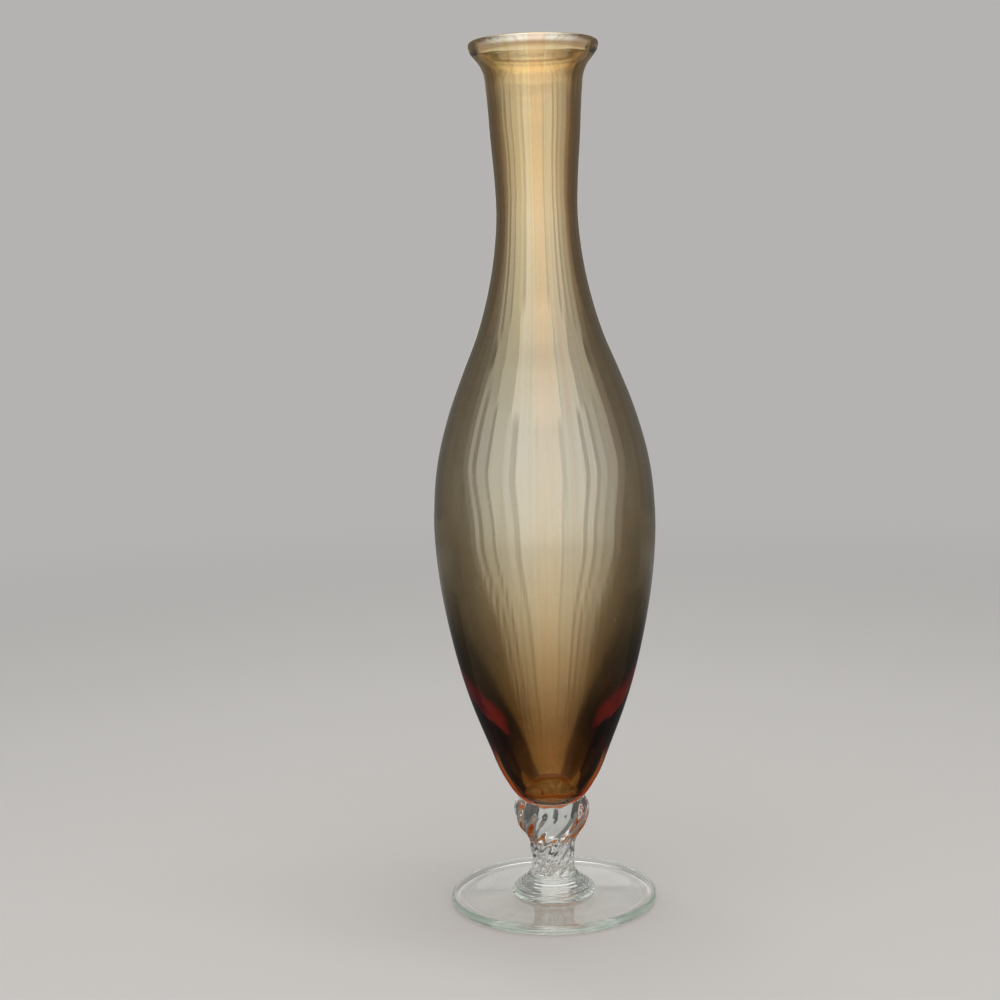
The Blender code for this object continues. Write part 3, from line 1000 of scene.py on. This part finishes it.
def make_floor():
    """Pale floor that fades into the backdrop."""
    mesh = bpy.data.meshes.new("floor")
    mesh.from_pydata(ring(FLOOR_RADIUS, FLOOR_LEVEL, FLOOR_SIDES), [], [list(range(FLOOR_SIDES))])
    floor = bpy.data.objects.new("floor", mesh)
    bpy.context.collection.objects.link(floor)
    material, tree, shader = new_material("pale_floor")
    fill(shader.inputs["Base Color"], FLOOR_COLOUR)
    shader.inputs["Roughness"].default_value = 0.7
    shader.inputs["Specular IOR Level"].default_value = 0.2
    fade = ranged(tree, vector_node(tree, "LENGTH", own_place(tree)), *FLOOR_FADE)
    haze = plain_shader(tree, "ShaderNodeEmission", PALE)
    both = mix_shader(tree, product(tree, fade, pale_rays(tree)), shader.outputs[0], haze)
    fill(tree.nodes["Material Output"].inputs["Surface"], both)
    mesh.materials.append(material)


def between(value, stops):
    """Return the level at a value, from rows of value and level joined by smooth steps."""
    if value <= stops[0][0]:
        return stops[0][1]
    for (low, first), (high, second) in zip(stops, stops[1:]):
        if value <= high:
            share = (value - low) / (high - low)
            share = share * share * (3 - 2 * share)
            return first + (second - first) * share
    return stops[-1][1]


def sheet_material(name, card):
    """Soft light by the sheet's own levels; a card is solid, and a lamp sheet only in reflections."""
    material, tree, principled = new_material(name)
    tree.nodes.remove(principled)
    glow = tree.nodes.new("ShaderNodeEmission")
    fill(glow.inputs["Color"], SHEET_TINT)
    fill(glow.inputs["Strength"], mark_value(tree, "glow"))
    clear = plain_shader(tree, "ShaderNodeBsdfTransparent", (1, 1, 1))
    lit = glow.outputs[0]
    if not card:
        both = tree.nodes.new("ShaderNodeAddShader")
        fill(both.inputs[0], lit)
        fill(both.inputs[1], clear)
        reflected = tree.nodes.new("ShaderNodeLightPath").outputs["Is Glossy Ray"]
        lit = mix_shader(tree, reflected, both.outputs[0], lit)
    away = tree.nodes.new("ShaderNodeNewGeometry").outputs["Backfacing"]
    fill(tree.nodes["Material Output"].inputs["Surface"], mix_shader(tree, away, lit, clear))
    return material


def glow_sheet(name, profile, start, end, columns, level_at, card=False, through=False):
    """Sweep a profile of distance and height round the vase into a sheet of soft light.

    Azimuth 0 is the camera's side. Only reflections show a card, and glass too where through is set.
    """
    points, faces, levels = [], [], []
    for distance, height in profile:
        for column in range(columns + 1):
            azimuth = start + (end - start) * column / columns
            turn = math.radians(azimuth)
            points.append((distance * math.sin(turn), -distance * math.cos(turn), height))
            levels.append(level_at(azimuth, distance, height))
    for row in range(len(profile) - 1):
        for column in range(columns):
            first = row * (columns + 1) + column
            faces.append((first, first + columns + 1, first + columns + 2, first + 1))
    mesh = bpy.data.meshes.new(name)
    mesh.from_pydata(points, [], faces)
    mesh.attributes.new("glow", "FLOAT", "POINT").data.foreach_set("value", levels)
    mesh.materials.append(sheet_material(name, card))
    sheet = bpy.data.objects.new(name, mesh)
    bpy.context.collection.objects.link(sheet)
    sheet.visible_camera = False
    sheet.visible_shadow = False
    if card:
        sheet.visible_transmission = through
        sheet.visible_diffuse = False


def softbox(name, place, aim, width, tall, radiance):
    """Place a flat soft panel."""
    data = bpy.data.lights.new(name, "AREA")
    data.shape = "RECTANGLE"
    data.size = width
    data.size_y = tall
    data.energy = radiance * math.pi * width * tall
    data.color = SOFTBOX_TINT
    lamp = bpy.data.objects.new(name, data)
    lamp.location = place
    lamp.rotation_mode = "QUATERNION"
    lamp.rotation_quaternion = (Vector(aim) - Vector(place)).to_track_quat("-Z", "Y")
    lamp.visible_camera = False
    bpy.context.collection.objects.link(lamp)


def spaced(start, reach, count, power=1):
    """Return values over a reach from the start, closer together near it where the power is over one."""
    return [start + reach * (index / count) ** power for index in range(count + 1)]


def sweep_profile():
    """Profile of the front sweep: along the floor, round a bend, up, and in over the top."""
    flat = SWEEP_DISTANCE - SWEEP_BEND - SWEEP_START
    profile = [(distance, SWEEP_LIFT) for distance in spaced(SWEEP_START, flat, SWEEP_ROWS, SWEEP_CROWDING)]
    for index in range(1, SWEEP_BEND_ROWS + 1):
        turn = math.pi / 2 * index / SWEEP_BEND_ROWS
        out = SWEEP_BEND * math.sin(turn)
        up = SWEEP_BEND * (1 - math.cos(turn))
        profile.append((SWEEP_DISTANCE - SWEEP_BEND + out, SWEEP_LIFT + up))
    upper = PANEL_TOP + PANEL_GAP
    heights = spaced(SWEEP_BEND, PANEL_TOP - SWEEP_BEND, SWEEP_ROWS)[1:]
    heights += spaced(upper, SWEEP_TOP - upper, SWEEP_UPPER_ROWS)[1:]
    return profile + [(SWEEP_DISTANCE, height) for height in heights] + list(SWEEP_OVERHANG)


def panels(azimuth, rows):
    """Return the level of the panel at an azimuth, with crisp edges between the panels."""
    for index, (end, panel) in enumerate(rows):
        following = rows[index + 1][1] if index + 1 < len(rows) else 0.0
        if azimuth <= end - PANEL_EDGE / 2:
            return max(panel, PANEL_DARKEST)
        if azimuth < end + PANEL_EDGE / 2:
            share = (azimuth - end) / PANEL_EDGE + 0.5
            return max(panel + (following - panel) * share, PANEL_DARKEST)
    return PANEL_DARKEST


def front_level(azimuth, distance, height):
    """Radiance of the front sweep: the low panels, which narrow towards the floor, and the high ones."""
    if height > PANEL_TOP:
        return PANEL_RADIANCE * between(height, SWEEP_TOP_LEVELS) * panels(azimuth, HIGH_PANELS)
    rise = math.degrees(math.atan2(height - BELLY_HEIGHT, distance))
    narrow = between(rise, PANEL_NARROWING)
    return PANEL_RADIANCE * between(distance, SWEEP_FLOOR_LEVELS) * panels(azimuth / narrow, LOW_PANELS)


def back_card_level(azimuth, distance, height):
    """Radiance of the dark card on the floor behind, with a pale strip in its middle."""
    start, end = PALE_STRIP_EDGE
    return between(abs(azimuth - 180), ((start, BACKDROP_LEVEL), (end, between(distance, BACK_CARD_LEVELS))))


def by_distance(stops):
    """Return a radiance that changes with the distance from the vase."""
    return lambda azimuth, distance, height: between(distance, stops)


def by_height(stops):
    """Return a radiance that changes with the height."""
    return lambda azimuth, distance, height: between(height, stops)


def make_lights():
    """A soft sweep of light in front, panels overhead, a weaker wall behind, and cards round the vase."""
    glow_sheet("front_light_sweep", sweep_profile(), *FRONT_SPAN, front_level)
    softbox("overhead_panel", place=(0, 0.1, 1.9), aim=(0, 0.1, 0), width=2.4, tall=1.8, radiance=0.9)
    softbox("overhead_strip", place=(0.1, 0.25, 1.85), aim=(0, 0.1, 0), width=1.4, tall=0.14, radiance=12.0)
    ceiling = [(distance, CEILING_HEIGHT) for distance in CEILING_DISTANCES]
    ceiling_level = by_distance(CEILING_LEVELS)
    glow_sheet("ceiling_card", ceiling, *ALL_ROUND, ceiling_level, card=True, through=True)
    mouth_high = [(SWEEP_DISTANCE, height) for height in MOUTH_GLOW_HEIGHTS]
    mouth_level = by_height(MOUTH_GLOW_LEVELS)
    glow_sheet("mouth_glow_panel", mouth_high, *BACK_SPAN, mouth_level, card=True, through=True)
    glow_sheet("back_light_wall", BACK_WALL_PROFILE, *BACK_SPAN, by_height(BACK_WALL_LEVELS), card=True)
    dark = by_distance(DARK_CARD_LEVELS)
    distances = spaced(FLOOR_CARD_START, FLOOR_CARD_REACH, FLOOR_CARD_ROWS, CARD_CROWDING)
    low = [(distance, CARD_LIFT) for distance in distances]
    glow_sheet("floor_dark_card", low, *ALL_ROUND, dark, card=True)
    distances = spaced(BACK_CARD_START, BACK_CARD_REACH, BACK_CARD_ROWS, CARD_CROWDING)
    behind = [(distance, BACK_CARD_LIFT) for distance in distances]
    glow_sheet("floor_back_card", behind, *BEHIND_SPAN, back_card_level, card=True, through=True)
    glow_sheet("left_dark_card", SIDE_CARD_PROFILE, *LEFT_SPAN, dark, card=True, through=True)
    glow_sheet("right_dark_card", SIDE_CARD_PROFILE, *RIGHT_SPAN, dark, card=True, through=True)


def make_studio():
    """Set the view and how far light is followed, and place camera, backdrop, floor and lights."""
    scene = bpy.context.scene
    scene.view_settings.view_transform = "Standard"
    scene.cycles.glossy_bounces = 40
    scene.cycles.transmission_bounces = 24
    scene.cycles.max_bounces = 48
    scene.cycles.transparent_max_bounces = 24
    make_camera()
    make_world()
    make_floor()
    make_lights()


# The vase, piece by piece


def turned_piece(name, outline, lift, glass, marks, seeds=()):
    """Turn an outline about the axis into a closed piece."""
    return closed_piece(name, [ring(point.x, point.y) for point in outline], lift, glass, marks, seeds)


def blown_body(outside, glass):
    """The bulb with its wall, lip, tooling ridge and seeds."""
    inside = inside_outline(outside)
    outline = outside + lip_points() + inside
    in_cup = [index for index, point in enumerate(outside[1:]) if point.y < STEM_SEAT_DEPTH]
    inner_wall = range(len(outside) + ROUND_STEPS - 1, len(outline) - 1)
    ridge = [index for index in inner_wall if abs(outline[index].y - RIDGE_HEIGHT) <= RIDGE_WIDTH / 2]
    marks = {"fused_seat": in_cup, "inner_wall": [*inner_wall, SEED_BAND], "painted_glint": [*ridge, SEED_BAND]}
    seeds = seeds_in_glass(outside, inside, SEED_COUNT)
    return turned_piece("blown_body", outline, BODY_LIFT, glass, marks, seeds)


def ribbed_stem(outside, cup_radius, glass):
    """The twisted stem; its flat base and its cup's recess are fused seats."""
    rings = stem_rings(outside, cup_radius)
    recess = range(STEM_RINGS + 2, len(rings) - 1)
    return closed_piece("ribbed_stem", rings, STEM_LIFT, glass, {"fused_seat": [0, *recess]})


def wound_collar(top_radius, glass):
    """The ringed collar; its flat base and top are fused seats."""
    outline = collar_outline(top_radius)
    return turned_piece("wound_collar", outline, COLLAR_LIFT, glass, {"fused_seat": [0, len(outline) - 2]})


def round_foot(glass):
    """The foot; the middle of its top is a fused seat."""
    outline = foot_outline()
    return turned_piece("round_foot", outline, 0, glass, {"fused_seat": [len(outline) - 2]})


def make_vase():
    """Build the four pieces in their glasses and put each in the place of its solid."""
    ripple = hand_blown_ripple()
    wear = dust_and_smudges()
    amber = amber_glass(ripple, wear)
    stem_glass = clear_glass("clear_stem_glass", ripple, wear, *STEM_GLASS)
    collar_glass = clear_glass("clear_collar_glass", ripple, wear, *COLLAR_GLASS)
    foot_glass = clear_glass("clear_foot_glass", ripple, wear, *FOOT_GLASS)

    outside = body_outline()
    cup_radius = radius_at(offset_outline(outside, JOINT_GAP), STEM_SEAT_DEPTH) + STEM_CUP_WALL
    stem_end = STEM_WAIST_RADIUS + (cup_radius - STEM_WAIST_RADIUS) * STEM_SHARES[-1][1]
    dressed = (
        (blown_body(outside, amber), "vase_body", "lustred_amber_glass"),
        (ribbed_stem(outside, cup_radius, stem_glass), "twisted_stem", "clear_stem_glass"),
        (wound_collar(stem_end + COLLAR_LEDGE, collar_glass), "stem_collar", "clear_collar_glass"),
        (round_foot(foot_glass), "foot", "clear_foot_glass"),
    )
    for piece, node, slot in dressed:
        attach(piece, "root")
        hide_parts(node)


make_studio()
make_vase()
